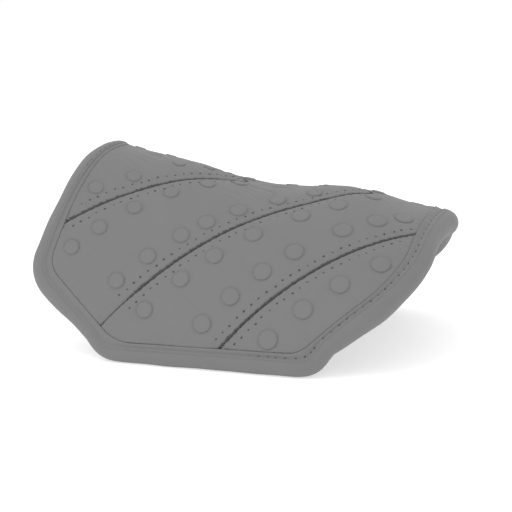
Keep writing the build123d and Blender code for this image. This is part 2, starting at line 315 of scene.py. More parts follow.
class Curves:
    """Sampled curves on the skin, for the distance to the nearest one and the length along it."""

    def __init__(self, runs):
        places, lengths, self.totals = [], [], []
        for start, (x, w) in enumerate(runs):
            points = skin(x, w)
            steps = np.linalg.norm(np.diff(points, axis=0), axis=1)
            places.append(points)
            self.totals.append(steps.sum())
            lengths.append(np.concatenate([[0], np.cumsum(steps)]) + RUN_LABEL * start)
        self.length = np.concatenate(lengths)
        self.tree = tree_of(np.concatenate(places))

    def nearest(self, points):
        distance, index = nearest_in(self.tree, points)
        return distance, self.length[index]


def seam_run(seam, low, high, step=0.4):
    w = np.arange(low, high, step)
    return seam(w), w


def closed_run(offset, step=0.7):
    places = loop(offset, step)
    return tuple(np.vstack([places, places[:1]]).T)


SEAM_RUNS = [
    seam_run(seam_1, -SEAM_1_END, SEAM_1_END),
    seam_run(seam_2, -SEAM_2_END, SEAM_2_END),
    seam_run(seam_3, SEAM_3_START, WIDEST),
    seam_run(seam_3, -WIDEST, -SEAM_3_START),
]
SEAMS = Curves(SEAM_RUNS)
EDGE = Curves([closed_run(0.0)])


def waves(t, lengths, heights):
    """A smooth irregular line: a sum of sines of the given wavelengths and heights."""
    total = 0.0
    for k, (length, height) in enumerate(zip(lengths, heights)):
        total = total + height * np.sin(2 * math.pi * t / length + WAVE_SHIFT * k)
    return total


def rounded(distance, reach, drop):
    """How far a panel's rounded edge lies below its face."""
    q = np.clip(1 - distance / reach, 0, 1)
    return drop * (1 - np.sqrt(np.maximum(1 - q * q, 0)))


def seam_depth(seam_length):
    """How deep the seams sit: the ends of seam 2 are shallow."""
    total = SEAMS.totals[1]
    along_2 = seam_length - RUN_LABEL
    near_end = 1 - ease(np.minimum(along_2, total - along_2), *SHALLOW_END)
    on_2 = (seam_length >= RUN_LABEL) & (seam_length < 2 * RUN_LABEL)
    return 1 - SHALLOWING * near_end * on_2


def crest_swell(x, w):
    rise = sum(height * hill(x, reach, station) for height, station, reach in CREST_SWELLS)
    return rise * hill(w, CREST_BREADTH)


def soft_lift(x, w, seam_distance, seam_length, edge_distance, edge_length):
    """Height of the covers over the skin: crowned, rounded at seams and edge, puckered and creased."""
    ragged = waves(seam_length, *RAGGED_SEAM) * np.exp(-seam_distance / RAGGED_FADE)
    seam_distance = np.maximum(seam_distance - SEAM_GAP + ragged, 0)
    depth = seam_depth(seam_length)
    lift = BASE_LIFT + CROWN * settle(seam_distance, CROWN_REACH) * settle(edge_distance, CROWN_REACH)
    lift = lift - depth * rounded(seam_distance, SEAM_ROUND, SEAM_DROP)
    lift = lift - rounded(np.maximum(edge_distance - EDGE_GAP, 0), EDGE_ROUND, EDGE_DROP)
    turn = 2 * math.pi * seam_length / PITCH + waves(seam_length, *PUCKER_DRIFT)
    pucker_depth, pucker_middle, pucker_reach = PUCKER
    pulled = pucker_depth * (0.5 + 0.5 * np.cos(turn))
    lift = lift - depth * pulled * hill(seam_distance, pucker_reach, pucker_middle)
    lift = lift - TUCK_DEPTH * hill(seam_distance, TUCK_REACH)
    lift = lift + waves(edge_length, *EDGE_TUG) * hill(edge_distance, TUG_REACH, TUG_MIDDLE)
    lift = lift + crest_swell(x, w) * settle(edge_distance, SWELL_REACH)
    return lift + settle(seam_distance, WRINKLE_REACH) * (creases(x, w) + broad_swell(x, w))


# The broad swell slants across the skin, and comes and goes over these lengths round and along it.
SWELL_SLANT = 0.4
SWELL_ROUND = 31.0
SWELL_ALONG = 83.0


def broad_swell(x, w):
    """The slow rise and fall of the cloth over the foam."""
    return waves(x + SWELL_SLANT * w, *BROAD_SWELL) * np.cos(w / SWELL_ROUND + x / SWELL_ALONG)


# Wrinkles run at 45 degrees to the spine. They are strongest at this place: station, wrap, and both reaches.
SLANT = 0.707
WRINKLED = (-20.0, 12.0, 105.0, 38.0)
# The wrinkles' strength comes and goes: its mean, its swing, and its greatest.
PATCHES = (0.55, 0.45, 1.3)


def creases(x, w):
    """Fine slanting wrinkles of the stretched cloth along the crest and beside it."""
    side = np.abs(w)
    across = (x - side) * SLANT
    lengthwise = (x + side) * SLANT
    ridges = waves(across + waves(lengthwise, *CREASE_BEND), *CREASE_RIDGES)
    mean, swing, greatest = PATCHES
    patches = mean + swing * waves(lengthwise + 0.5 * across, *CREASE_PATCHES)
    station, wrap, long_reach, wide_reach = WRINKLED
    near_crest = hill(side, wide_reach, wrap) * hill(x, long_reach, station)
    return ridges * np.clip(patches, 0, greatest) * near_crest


def cover_lift(x, w, moats=True):
    """Height of the covers at places on the skin, with or without the shallow ring round each dot."""
    points = skin(x, w)
    lift = soft_lift(x, w, *SEAMS.nearest(points), *EDGE.nearest(points))
    if moats:
        distance, radius = DOT_MIDDLES.nearest(points)
        lift = lift - MOAT_DEPTH * hill(distance - radius, MOAT_REACH, MOAT_MIDDLE)
    return lift


# ---- meshes ----
def make_object(name, points, faces, place=None):
    """A smooth-shaded mesh piece from points in millimetres. place holds (station, wrap) for its cloth."""
    mesh = bpy.data.meshes.new(name)
    mesh.from_pydata((points * MM).tolist(), [], faces.tolist() if hasattr(faces, "tolist") else faces)
    mesh.validate()
    mesh.shade_smooth()
    if place is not None:
        layer = mesh.attributes.new("place", "FLOAT_VECTOR", "POINT")
        flat = np.concatenate([place, np.zeros((len(place), 1))], 1).astype(np.float32)
        layer.data.foreach_set("vector", flat.ravel())
    piece = bpy.data.objects.new(name, mesh)
    bpy.context.scene.collection.objects.link(piece)
    return piece


def grid_faces(rows, columns, first=0, flip=False):
    r, c = np.meshgrid(np.arange(rows - 1), np.arange(columns - 1), indexing="ij")
    a = (first + r * columns + c).ravel()
    quads = np.stack([a, a + 1, a + columns + 1, a + columns], 1)
    return quads[:, ::-1] if flip else quads


def rim(rows, columns):
    """Indices round the border of a grid, in order."""
    top = np.arange(columns)
    right = np.arange(1, rows) * columns + columns - 1
    bottom = (rows - 1) * columns + np.arange(columns - 2, -1, -1)
    left = np.arange(rows - 2, 0, -1) * columns
    return np.concatenate([top, right, bottom, left])


def closed_pad(name, x, w, top_lift, bottom_lift):
    """A closed form between two lifts over a grid of places (x, w)."""
    rows, columns = x.shape
    top, bottom = skin(x, w, top_lift).reshape(-1, 3), skin(x, w, bottom_lift).reshape(-1, 3)
    count = rows * columns
    border = rim(rows, columns)
    after = np.roll(border, -1)
    walls = np.stack([border, border + count, after + count, after], 1)
    faces = np.concatenate([grid_faces(rows, columns), grid_faces(rows, columns, count, True), walls])
    place = np.stack([x.ravel(), w.ravel()], 1)
    return make_object(name, np.concatenate([top, bottom]), faces, np.concatenate([place, place]))


def fine_ends(count, pull):
    """Shares from 0 to 1 that lie closer together near both ends, the more so the greater the pull."""
    even = np.linspace(0, 1, count)
    return (1 - pull) * even + pull * (0.5 - 0.5 * np.cos(math.pi * even))


ROW_PULL = 0.35
COLUMN_PULL = 0.55


def panel_grid(start, end, low, high, rows, columns):
    """Places in rows round the arch, from the start line to the end line, closer together at the border."""
    w = low + (high - low) * fine_ends(rows, ROW_PULL)
    share = fine_ends(columns, COLUMN_PULL)
    first, last = start(w)[:, None], end(w)[:, None]
    return first + (last - first) * share[None, :], np.repeat(w[:, None], columns, 1)


def beside(seam, side):
    """The seam's line moved by the seam gap, to the side given (-1 or 1)."""

    def line(w):
        slope = (seam(w + PROBE) - seam(w - PROBE)) * WRAP_RADIUS / skin_radius(seam(w), w)
        return seam(w) + side * SEAM_GAP * np.hypot(1, slope)

    return line


def middle_start(w):
    return np.maximum(beside(seam_1, 1)(w), tall_edge(w))


def broad_start(w):
    return np.maximum(beside(seam_2, 1)(w), tall_edge(w))


def broad_finish(w):
    past_the_pad = 1e6
    reach = np.where(np.abs(w) > SEAM_3_START, beside(seam_3, -1)(w), past_the_pad)
    return np.minimum(reach, broad_edge(w))


def side_start(w):
    return np.maximum(beside(seam_3, 1)(w), tall_edge(w))


# How far short of its point each pointed panel stops.
TIP = 0.9
# Each panel's start and end lines along the spine, its wraps, and its rows and columns of points.
PANELS = {
    "tall_end": (tall_edge, beside(seam_1, -1), -SEAM_1_END + TIP, SEAM_1_END - TIP, 220, 140),
    "middle": (middle_start, beside(seam_2, -1), -SEAM_2_END + TIP, SEAM_2_END - TIP, 380, 150),
    "broad_end": (broad_start, broad_finish, -WIDEST, WIDEST, 420, 190),
    "side_left": (side_start, broad_edge, SEAM_3_START + TIP, WIDEST, 150, 130),
    "side_right": (side_start, broad_edge, -WIDEST, -SEAM_3_START - TIP, 150, 130),
}


def build_panels():
    made = {}
    for name, (start, end, low, high, rows, columns) in PANELS.items():
        x, w = panel_grid(start, end, low, high, rows, columns)
        piece = closed_pad(f"panel_{name}", x, w, cover_lift(x, w), -CORE_DEPTH)
        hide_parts(f"cover_{name}", f"core_{name}")
        made[name] = piece
    return made


# The inner face's length along the spine, and the spacing of its points on the foam and on the lining.
INNER_LENGTH = 280.0
FOAM_STEP = 4.0
LINING_STEP = 2.2
# How far the seams and the edge pull the inner face in, and how far it crowns between: amount and reach.
SEAM_DIP = (1.9, 4.0)
EDGE_DIP = (1.2, 5.0)
INNER_CROWN = (1.0, 14.0)


def inner_grid(step):
    rows, columns = int(2 * WIDEST / step), int(INNER_LENGTH / step)
    return panel_grid(tall_edge, broad_edge, -WIDEST, WIDEST, rows, columns)


def inner_dip(x, w):
    """How far the seams pull the inner face in, and how far it crowns between them."""
    points = skin(x, w)
    seam_distance, _ = SEAMS.nearest(points)
    edge_distance, _ = EDGE.nearest(points)
    dip = SEAM_DIP[0] * hill(seam_distance, SEAM_DIP[1]) + EDGE_DIP[0] * np.exp(-edge_distance / EDGE_DIP[1])
    return dip - INNER_CROWN[0] * settle(np.minimum(seam_distance, edge_distance), INNER_CROWN[1])


def build_inner():
    x, w = inner_grid(FOAM_STEP)
    dip = inner_dip(x, w)
    foam = closed_pad("comfort_pad", x, w, -FOAM_TOP, -FOAM_BOTTOM + dip)
    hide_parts("comfort_foam")
    x, w = inner_grid(LINING_STEP)
    dip = inner_dip(x, w)
    lining = closed_pad("lining", x, w, LINING_LIFT + dip, LINING_LIFT - LINING_THICKNESS + dip)
    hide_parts("inner_lining")
    return foam, lining


# ---- the bound edge ----
def roll_frames():
    """Place, middle, outward and upward directions at each point of the roll, and its length so far."""
    places = loop(ROLL_OFFSET)
    x, w = places.T
    middle = skin(x, w, -EDGE_ROLL)
    resting = ease(np.abs(w), BOTTOM_WRAP - ROLL_OFFSET, BOTTOM_WRAP + ROLL_OFFSET)
    middle[:, 2] += (EDGE_ROLL - FLOOR_PRESS - middle[:, 2]) * resting
    tangent = unit(np.roll(middle, -1, 0) - np.roll(middle, 1, 0))
    up = skin_normal(x, w)
    up = unit(up - tangent * (up * tangent).sum(-1, keepdims=True))
    outward = np.cross(up, tangent)
    inner = loop(0.0)
    toward = middle - skin(inner[:, 0], inner[:, 1], -EDGE_ROLL)
    outward *= np.sign((outward * toward).sum(-1, keepdims=True))
    steps = np.linalg.norm(np.roll(middle, -1, 0) - middle, axis=1)
    return places, middle, outward, up, np.concatenate([[0], np.cumsum(steps)[:-1]])


# The flap that is sewn down: distance out from the sewn line, lift over the skin, and the lift at the tall
# end, where its crease lies further out.
FLAP = [
    (-0.05, -2.2, -2.2),
    (-0.1, -0.7, -0.7),
    (0.0, -0.05, -0.05),
    (0.4, 0.45, 0.28),
    (1.0, 0.55, 0.42),
    (1.7, 0.34, 0.48),
    (2.6, -0.05, 0.50),
    (3.6, -0.55, 0.49),
    (4.6, -0.85, 0.46),
    (5.5, -0.60, 0.42),
    (6.3, 0.0, 0.38),
    (6.9, 0.36, 0.28),
    (7.4, 0.34, 0.02),
    (7.9, 0.0, -0.45),
    (8.3, -0.28, -0.6),
    (8.7, -0.1, -0.15),
]
# The flap on the inner face: distance out from the sewn line, and lift over the skin.
UNDER_FLAP = [
    (6.6, -19.9),
    (5.2, -19.8),
    (3.6, -20.1),
    (2.2, -19.7),
    (0.8, -19.6),
    (0.05, -19.3),
    (-0.05, -18.4),
]
# The round part between the flaps runs through these angles.
ROUND_ANGLES = np.radians(np.linspace(86, -92, 33))
# The groove that the stitches pull in the flap: distance out from the sewn line, and reach.
FLAP_GROOVE = (4.6, 1.8)
# The flap's puckering, and the share of it that reaches the whole flap and not just the groove.
FLAP_PUCKER = 0.20
ALL_OVER = 0.4
# The flap's stitching shows past these stations and inside these wraps, and is faint elsewhere. The tall
# end's crease takes over past the last stations, counted towards that end.
SEWN_STATIONS = (-25.0, 45.0)
SEWN_WRAPS = (48.0, 84.0)
TALL_STATIONS = (80.0, 110.0)
FAINT = 0.12
# Between these distances out from the roll's middle, the flap leaves the skin for the roll.
FLAP_LETS_GO = (-7.5, -1.5)


def roll_profile():
    """The binding's closed section: out from the roll's middle, up, and how much it keeps to the skin."""
    section = [(out - ROLL_OFFSET, lift + EDGE_ROLL, 1.0) for out, lift, _ in FLAP]
    section += [(EDGE_ROLL * math.cos(a), EDGE_ROLL * math.sin(a), 0.0) for a in ROUND_ANGLES]
    section += [(out - ROLL_OFFSET, lift + EDGE_ROLL, 1.0) for out, lift in UNDER_FLAP]
    section += [(0.2 - ROLL_OFFSET, height, 1.0) for height in (-5.0, 0.0, 5.0)]
    return np.array(section)


def stitched(x, w):
    """How strongly the binding's stitching shows: it is sunk out of sight beside the tall end."""
    return np.maximum(ease(x, *SEWN_STATIONS), 1 - ease(np.abs(w), *SEWN_WRAPS))


def roll_swell(x, w):
    return sum(amount * np.exp(-((x - station) ** 2 + (np.abs(w) - wrap) ** 2) / reach**2)
               for amount, station, wrap, reach in ROLL_SWELLS)


def flap_lift(row, length, shown, tall):
    """Lift of one row of the flap along the whole edge, with its stitching shown more or less."""
    out, lift, tall_lift = FLAP[row]
    middle, reach = FLAP_GROOVE
    pucker = FLAP_PUCKER * np.cos(2 * math.pi * length / PITCH) + waves(length, *FLAP_WAVER)
    ridge = lift + (tall_lift - lift) * tall
    return ridge * (FAINT + (1 - FAINT) * shown) + pucker * (ALL_OVER + hill(out, reach, middle)) * shown


def build_binding():
    places, middle, outward, up, length = roll_frames()
    section = roll_profile()
    count, around = len(places), len(section)
    shown = stitched(*places.T)
    tall = ease(-places[:, 0], *TALL_STATIONS)
    fullness = waves(length, *ROLL_FULLNESS) + roll_swell(*places.T)
    points = np.zeros((count, around, 3))
    for j, (out, height, kept) in enumerate(section):
        line = loop(ROLL_OFFSET + out)
        on_top = j < len(FLAP) and out > -ROLL_OFFSET
        lift = flap_lift(j, length, shown, tall) if on_top else np.full(count, height - EDGE_ROLL)
        on_skin = skin(line[:, 0], line[:, 1], lift)
        swell = 1 + fullness * (1 - kept) / EDGE_ROLL * max(0.0, out / EDGE_ROLL)
        round_it = middle + (outward * out + up * height) * swell[:, None]
        share = kept * (1 - ease(out, *FLAP_LETS_GO))
        points[:, j] = on_skin * share + round_it * (1 - share)
    points[..., 2] = np.maximum(points[..., 2], 0.0)
    i, j = np.meshgrid(np.arange(count), np.arange(around), indexing="ij")
    a, b = i * around + j, i * around + (j + 1) % around
    c, d = ((i + 1) % count) * around + (j + 1) % around, ((i + 1) % count) * around + j
    faces = np.stack([a.ravel(), b.ravel(), c.ravel(), d.ravel()], 1)
    cloth_step = 1.6
    place = np.stack([np.repeat(length, around), np.tile(np.arange(around) * cloth_step, count)], 1)
    piece = make_object("edge_binding", points.reshape(-1, 3), faces, place)
    runs = ("tall_end", "broad_end", "left", "right")
    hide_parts(*[f"binding_{r}" for r in runs], *[f"edge_filler_{r}" for r in runs])
    return piece, points


# ---- rows of stitches and dots ----
def along(seam, low, high, distances, offset):
    """Places (x, w) and headings at distances along a seam from wrap low, moved offset towards +X."""
    samples = 2001
    w = np.linspace(low, high, samples)
    x = seam(w)
    scale = skin_radius(x, w)[:-1] / WRAP_RADIUS
    run, rise = np.diff(x), np.diff(w) * scale
    step = np.hypot(run, rise)
    travelled = np.concatenate([[0], np.cumsum(step)])
    distances = np.array([d for d in distances if d < travelled[-1]])
    k = np.searchsorted(travelled, distances) - 1
    turn = 1 if high > low else -1
    side_x, side_w = turn * rise / step, -turn * run / step / scale
    return x[k] + side_x[k] * offset, w[k] + side_w[k] * offset, run[k], np.diff(w)[k]


def local_frames(x, w, heading_x, heading_w):
    """Right-handed directions on the skin: along the heading, across it, and out."""
    size = np.hypot(heading_x, heading_w)
    hx, hw = heading_x / size, heading_w / size
    forward = unit(skin(x + hx, w + hw) - skin(x, w))
    out = skin_normal(x, w)
    return forward, np.cross(out, forward), out


def capped_rings(first, rings, spokes):
    """Faces of a closed form made of a point, rings of points, and a last point."""
    faces = []
    for s in range(spokes):
        n = (s + 1) % spokes
        base = first + 1
        faces.append((first, base + s, base + n))
        for _ in range(rings - 1):
            faces.append((base + s, base + spokes + s, base + spokes + n, base + n))
            base += spokes
        faces.append((base + s, first + 1 + rings * spokes, base + n))
    return faces


def beads(name, centres, forward, across, out, size):
    """One mesh of small rounded stitches, each a closed squashed ball."""
    rings, spokes = 5, 10
    polar = np.linspace(0, math.pi, rings + 2)[1:-1]
    turn = np.linspace(0, 2 * math.pi, spokes, endpoint=False)
    ball = [(1.0, 0.0, 0.0)]
    ball += [(math.cos(p), math.sin(p) * math.cos(t), math.sin(p) * math.sin(t)) for p in polar for t in turn]
    ball.append((-1.0, 0.0, 0.0))
    ball = np.array(ball) * np.array(size) / 2
    points = centres[:, None] + ball[None, :, 0:1] * forward[:, None]
    points = points + ball[None, :, 1:2] * across[:, None] + ball[None, :, 2:3] * out[:, None]
    faces = []
    for k in range(len(centres)):
        faces += capped_rings(k * len(ball), rings, spokes)
    return make_object(name, points.reshape(-1, 3), faces)


# A needle mark's length, width and height. Each mark is a thread bead, coloured dark as painted shade of the
# needle hole.
STITCH = (2.2, 1.7, 1.0)
BINDING_STITCH = (2.2, 1.5, 0.9)
# The row of the flap that carries the binding's marks, and the one at the tall end's crease.
GROOVE_ROW = 8
CREASE_ROW = 14
CREASE_ROW_STATION = -95.0
# The rows' distance from their seam, how far they stop short of the edge, and seam 2's bare ends.
STITCH_OFFSET = 7.2
STITCH_MARGIN = 4.0
SEAM_2_BARE = 20.0
# How unevenly the marks lie, and how deep they are pulled into the cloth.
STITCH_STRAY = 0.45
STITCH_SUNK = (0.05, 0.38)
BINDING_STRAY = 0.3
BINDING_SUNK = (0.0, 0.22)
OUT_OF_SIGHT = 1.2


def seam_stitches(name, rows):
    """One piece of needle marks. Each row is a seam, the wraps it runs between, and its offset."""
    marks = []
    most = 60
    for seam, low, high, offset in rows:
        distances = [PITCH * (k + 0.5) for k in range(most)]
        x, w, run, rise = along(seam, low, high, distances, offset)
        keep = (np.abs(w) < WIDEST - STITCH_MARGIN) & (x > tall_edge(w) + STITCH_MARGIN)
        keep &= x < broad_edge(w) - STITCH_MARGIN
        marks.append(np.array([x[keep], w[keep], run[keep], rise[keep]]))
    x, w, run, rise = np.concatenate(marks, 1)
    x = x + RNG.normal(0, STITCH_STRAY, len(x))
    w = w + RNG.normal(0, STITCH_STRAY, len(w))
    forward, across, out = local_frames(x, w, run, rise)
    sunk = RNG.uniform(*STITCH_SUNK, len(x))
    centres = skin(x, w, cover_lift(x, w) - sunk)
    piece = beads(name + "_thread", centres, forward, across, out, STITCH)
    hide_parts(name)
    return piece


def build_seam_stitches():
    side = STITCH_OFFSET
    made = []
    for label, seam, reach in (("1", seam_1, SEAM_1_END), ("2", seam_2, SEAM_2_END - SEAM_2_BARE)):
        made.append(seam_stitches(f"stitches_seam_{label}_tall_side", [(seam, -reach, reach, -side)]))
        made.append(seam_stitches(f"stitches_seam_{label}_broad_side", [(seam, -reach, reach, side)]))
    for label, low, high in (("left", SEAM_3_START, WIDEST), ("right", -WIDEST, -SEAM_3_START)):
        rows = [(seam_3, low, high, -side), (seam_3, low, high, side)]
        made.append(seam_stitches(f"stitches_seam_3_{label}", rows))
    return made


def build_binding_stitches(surface):
    """Small stitches on the binding's flap: in its groove, and in its outer crease at the tall end."""
    places, _, _, up, length = roll_frames()
    wanted = np.arange(PITCH / 2, length[-1], PITCH)
    wanted = wanted + RNG.normal(0, BINDING_STRAY, len(wanted))
    index = np.clip(np.searchsorted(length, wanted), 1, len(length) - 2)
    row = np.where(places[index, 0] < CREASE_ROW_STATION, CREASE_ROW, GROOVE_ROW)
    on_flap = surface[index, row]
    forward = unit(surface[index + 1, row] - surface[index - 1, row])
    across = unit(np.cross(up[index], forward))
    out = np.cross(forward, across)
    shown = stitched(*places[index].T)
    sunk = RNG.uniform(*BINDING_SUNK, len(index)) + OUT_OF_SIGHT * (1 - shown)
    piece = beads("stitches_binding", on_flap - out * sunk[:, None], forward, across, out, BINDING_STITCH)
    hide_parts(*[f"stitches_binding_{r}" for r in ("tall_end", "broad_end", "left", "right")])
    return piece


# Rows of dots, as in the CAD part: the seam, the wrap where distances start, the offset from the seam,
# the growth of that offset per millimetre, and the distances.
DOT_ROWS = {
    "tall_end": [(seam_1, 0.0, -15.5, 0.0, [100, 134])],
    "middle": [
        (seam_1, 0.0, 8.5, 0.085, [43, 78, 114, 149, 178]),
        (seam_2, 0.0, -13.0, -0.022, [51, 85, 121, 150, 174, 206, 238]),
    ],
    "broad_end": [
        (seam_2, 0.0, 17.5, 0.0, [44, 79, 124, 162, 196, 236]),
        (seam_3, 40.0, -24.5, 0.0, [63, 86, 116, 159, 189, 220, 250]),
    ],
    "side": [(seam_3, 66.0, 24.5, 0.0, [62, 101, 138, 176])],
}
# Dots on and near the crest, placed one by one: station and wrap.
CREST_DOTS = {
    "tall_end": [(-71.0, -15.0), (-47.0, 0.0), (-89.0, 19.0), (-119.0, 20.0)],
    "middle": [(-15.0, 18.0), (-15.0, -18.0), (24.0, 19.0)],
    "broad_end": [(102.0, 18.0), (102.0, -18.0)],
    "side": [],
}
DOT_HEIGHT = 1.0
# The shallow ring pressed in round a dot: depth, distance outside the dot, and reach.
MOAT_DEPTH = 0.45
MOAT_MIDDLE = 0.5
MOAT_REACH = 1.1
# Dots' least radius, and what it gains from the first station over the span, where a wrap counts in part.
SMALL_RADIUS = 6.3
RADIUS_GAIN = 1.5
GAIN_STATION = -60.0
GAIN_SPAN = 180.0
GAIN_WRAP = 0.35
# The share of its radius that a dot on the crest loses, and how far round that reaches.
CREST_SHRINK = 0.22
CREST_REACH = 40.0
# The dot's section from its middle outwards: share of the radius, and share of the height.
DOT_SECTION = [
    (0.0, 1.0),
    (0.35, 0.99),
    (0.62, 0.96),
    (0.80, 0.90),
    (0.90, 0.74),
    (0.96, 0.40),
    (1.0, -0.05),
    (1.02, -0.8),
]


def dot_radius(x, w):
    """Dots grow from the tall end towards the broad end's lower corners."""
    share = min(1.0, max(0.0, (x + GAIN_WRAP * abs(w) - GAIN_STATION) / GAIN_SPAN))
    return (SMALL_RADIUS + RADIUS_GAIN * share) * (1 - CREST_SHRINK * hill(w, CREST_REACH))


def dot_places(panel, side):
    places = []
    for seam, start, offset, spread, distances in DOT_ROWS[panel]:
        for distance in distances:
            x, w, _, _ = along(seam, side * start, side * WIDEST, [distance], offset + spread * distance)
            places += list(zip(x, w))
    return places


class DotMiddles:
    """Every dot's middle, for the distance to the nearest one and that one's radius."""

    def __init__(self):
        places = []
        for panel in DOT_ROWS:
            places += dot_places(panel, 1) + dot_places(panel, -1) + CREST_DOTS[panel]
        self.radius = np.array([dot_radius(x, w) for x, w in places])
        self.tree = tree_of([skin(x, w) for x, w in places])

    def nearest(self, points):
        distance, index = nearest_in(self.tree, points)
        return distance, self.radius[index]


DOT_MIDDLES = DotMiddles()


def dots(name, places):
    """One piece of round dots, each a closed low cushion that follows the cloth under it."""
    spokes = 40
    turn = np.linspace(0, 2 * math.pi, spokes, endpoint=False)
    points, faces, cloth = [], [], []
    for x, w in places:
        scale = WRAP_RADIUS / skin_radius(x, w)
        radius = dot_radius(x, w)
        faces += capped_rings(sum(len(p) for p in points), len(DOT_SECTION) - 1, spokes)
        form = [(x, w, DOT_SECTION[0][1])]
        for share, height in DOT_SECTION[1:]:
            reach = radius * share
            form += [(x + reach * math.cos(t), w + reach * scale * math.sin(t), height) for t in turn]
        form.append((x, w, DOT_SECTION[-1][1]))
        form = np.array(form)
        lift = cover_lift(form[:, 0], form[:, 1], moats=False)
        points.append(skin(form[:, 0], form[:, 1], lift + DOT_HEIGHT * form[:, 2]))
        cloth.append(form[:, :2])
    piece = make_object(name + "_raised", np.concatenate(points), faces, np.concatenate(cloth))
    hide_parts(name)
    return piece


def build_dots():
    made = []
    for panel in DOT_ROWS:
        left, right = dot_places(panel, 1), dot_places(panel, -1)
        if panel == "side":
            made += [dots("dots_side_left", left), dots("dots_side_right", right)]
        else:
            made.append(dots(f"dots_{panel}", CREST_DOTS[panel] + left + right))
    return made


# ---- seam tapes, seen at the bottom of the grooves, coloured dark as painted groove shade ----
TAPE_TOP = -1.15
TAPE_BOTTOM = -4.4
# Samples between the corners of the ragged edge, and samples left out at each end of a seam.
TAPE_KNOT = 2
TAPE_INSET = 4
# Half the width of the raw edge: its least, and what its raggedest places add.
TAPE_HALF = 0.2
TAPE_RAGGED = 1.7
TAPE_ROUGH = 0.5
# How much lower the tape lies where its seam is shallow.
TAPE_SINK = 0.9


def build_tapes():
    """The tapes' raw edges, standing ragged in the grooves."""
    made = []
    section = ((-1, True), (1, True), (1, False), (-1, False))
    around = len(section)
    names = ("seam_tape_1", "seam_tape_2", "seam_tape_3_left", "seam_tape_3_right")
    for run, (name, (x, w)) in enumerate(zip(names, SEAM_RUNS)):
        length = np.concatenate([[0], np.cumsum(np.linalg.norm(np.diff(skin(x, w), axis=0), axis=1))])
        inset = slice(TAPE_INSET, -TAPE_INSET)
        depth = seam_depth(length + RUN_LABEL * run)[inset]
        x, w = x[inset], w[inset]
        base = crest_swell(x, w) - TAPE_SINK * (1 - depth)
        slope = np.gradient(x, w) * WRAP_RADIUS / skin_radius(x, w)
        knots = np.arange(0, len(x) + TAPE_KNOT, TAPE_KNOT)
        lines = []
        for side, top in section:
            ragged = np.interp(np.arange(len(x)), knots, RNG.uniform(0, 1, len(knots)))
            half = TAPE_HALF + TAPE_RAGGED * ragged**2
            lift = TAPE_TOP + base + TAPE_ROUGH * (ragged - 0.5) if top else TAPE_BOTTOM + base
            lines.append(skin(x + side * half * np.hypot(1, slope), w, lift))
        points = np.stack(lines, 1)
        count = len(points)
        i, j = np.meshgrid(np.arange(count - 1), np.arange(around), indexing="ij")
        a, b = (i * around + j).ravel(), (i * around + (j + 1) % around).ravel()
        faces = np.stack([a, b, b + around, a + around], 1)[:, ::-1].tolist()
        faces += [list(range(around)), [around * count - 1 - k for k in range(around)]]
        place = np.stack([np.repeat(x, around), np.repeat(w, around)], 1)
        piece = make_object(name + "_edge", points.reshape(-1, 3), faces, place)
        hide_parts(name)
        made.append(piece)
    return made


# ---- materials ----
class Nodes:
    """A short way to write a material's nodes."""

    def __init__(self, name):
        self.material = bpy.data.materials.new(name)
        self.material.use_nodes = True
        self.tree = self.material.node_tree
        self.shader = next(n for n in self.tree.nodes if n.type == "BSDF_PRINCIPLED")

    def add(self, kind, **values):
        node = self.tree.nodes.new(kind)
        for key, value in values.items():
            setattr(node, key, value)
        return node

    def link(self, source, target):
        self.tree.links.new(source, target)

    def noise(self, coordinates, scale, detail=3.0, roughness=0.5):
        node = self.add("ShaderNodeTexNoise")
        node.inputs["Scale"].default_value = scale
        node.inputs["Detail"].default_value = detail
        node.inputs["Roughness"].default_value = roughness
        self.link(coordinates, node.inputs["Vector"])
        return node.outputs["Fac"]

    def math(self, operation, a, b):
        node = self.add("ShaderNodeMath", operation=operation)
        for socket, value in zip(node.inputs, (a, b)):
            if isinstance(value, (int, float)):
                socket.default_value = value
            else:
                self.link(value, socket)
        return node.outputs["Value"]

    def weave(self, coordinates, period, angle=0.0):
        """Two crossed sets of threads, as a height from 0 to 1."""
        turned = self.add("ShaderNodeMapping")
        turned.inputs["Rotation"].default_value = (0, 0, angle)
        self.link(coordinates, turned.inputs["Vector"])
        heights = []
        for direction in ("X", "Y"):
            wave = self.add("ShaderNodeTexWave", bands_direction=direction, wave_profile="SIN")
            wave.inputs["Scale"].default_value = math.pi / 10 / period
            wave.inputs["Distortion"].default_value = 0.6
            wave.inputs["Detail"].default_value = 1.0
            self.link(turned.outputs["Vector"], wave.inputs["Vector"])
            heights.append(wave.outputs["Fac"])
        return self.math("MULTIPLY", heights[0], heights[1])

    def colour(self, low, high, factor):
        """A grey between low and high."""
        ramp = self.add("ShaderNodeValToRGB")
        for stop, position, grey in zip(ramp.color_ramp.elements, (0.25, 0.75), (low, high)):
            stop.position = position
            stop.color = (grey, grey, grey, 1)
        self.link(factor, ramp.inputs["Fac"])
        self.link(ramp.outputs["Color"], self.shader.inputs["Base Color"])

    def bump(self, height, distance):
        node = self.add("ShaderNodeBump")
        node.inputs["Strength"].default_value = 1.0
        node.inputs["Distance"].default_value = distance
        self.link(height, node.inputs["Height"])
        self.link(node.outputs["Normal"], self.shader.inputs["Normal"])

    def roughness(self, low, high, factor):
        node = self.add("ShaderNodeMapRange")
        node.inputs["To Min"].default_value = low
        node.inputs["To Max"].default_value = high
        self.link(factor, node.inputs["Value"])
        self.link(node.outputs["Result"], self.shader.inputs["Roughness"])


